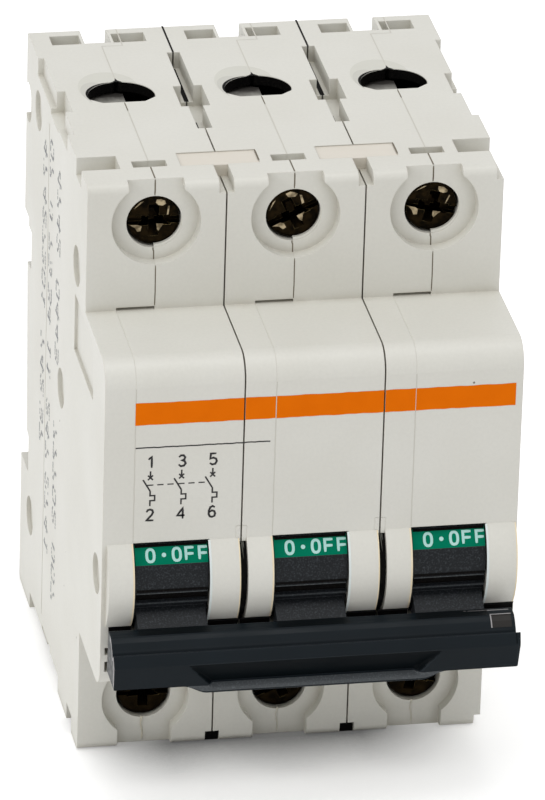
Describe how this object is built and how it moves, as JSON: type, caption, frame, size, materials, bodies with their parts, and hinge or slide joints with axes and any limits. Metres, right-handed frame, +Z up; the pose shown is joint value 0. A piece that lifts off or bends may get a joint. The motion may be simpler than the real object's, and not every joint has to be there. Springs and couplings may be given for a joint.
{
  "type": "three-pole miniature circuit breaker for a 35 mm rail",
  "caption": "Modular miniature circuit breaker with side-by-side poles, stepped moulded housing, cable holes, recessed terminal screws and a tie bar across the handles, shown off.",
  "frame": {"origin": "middle of the box at the height of the base the breaker stands on", "axes": "+X to the viewer's right across the poles, +Y towards the rail, +Z up along the height"},
  "size_m": [0.0538, 0.074, 0.081],
  "materials": {
    "case": "light warm grey moulded polyamide",
    "toggle": "charcoal moulded, fine speckle",
    "tie_bar": "dark blue-grey moulded, satin",
    "flag": "green with pale printed legend",
    "key": "pinkish beige moulded",
    "screw": "zinc plated, yellow passivated",
    "clamp": "zinc plated pressing",
    "clip": "light warm grey moulded polyamide"
  },
  "bodies": {
    "housing": {"case_left_1": "case", "case_right_1": "case", "upper_screw_1": "screw", "lower_screw_1": "screw", "upper_clamp_1": "clamp", "lower_clamp_1": "clamp", "rail_clip_1": "clip", "case_left_2": "case", "case_right_2": "case", "upper_screw_2": "screw", "lower_screw_2": "screw", "upper_clamp_2": "clamp", "lower_clamp_2": "clamp", "rail_clip_2": "clip", "case_left_3": "case", "case_right_3": "case", "upper_screw_3": "screw", "lower_screw_3": "screw", "upper_clamp_3": "clamp", "lower_clamp_3": "clamp", "rail_clip_3": "clip", "link_key_upper_1": "key", "link_key_lower_1": "key", "link_key_upper_2": "key", "link_key_lower_2": "key"},
    "handle": {"toggle_1": "toggle", "off_flag_1": "flag", "toggle_2": "toggle", "off_flag_2": "flag", "toggle_3": "toggle", "off_flag_3": "flag", "handle_tie_bar": "tie_bar"}
  },
  "joints": [
    {"name": "handle_swing", "type": "hinge", "parent": "housing", "child": "handle", "pos_m": [0, -0.0228, 0.0325], "axis": [-1, 0, 0], "range_deg": [0, 66]}
  ]
}
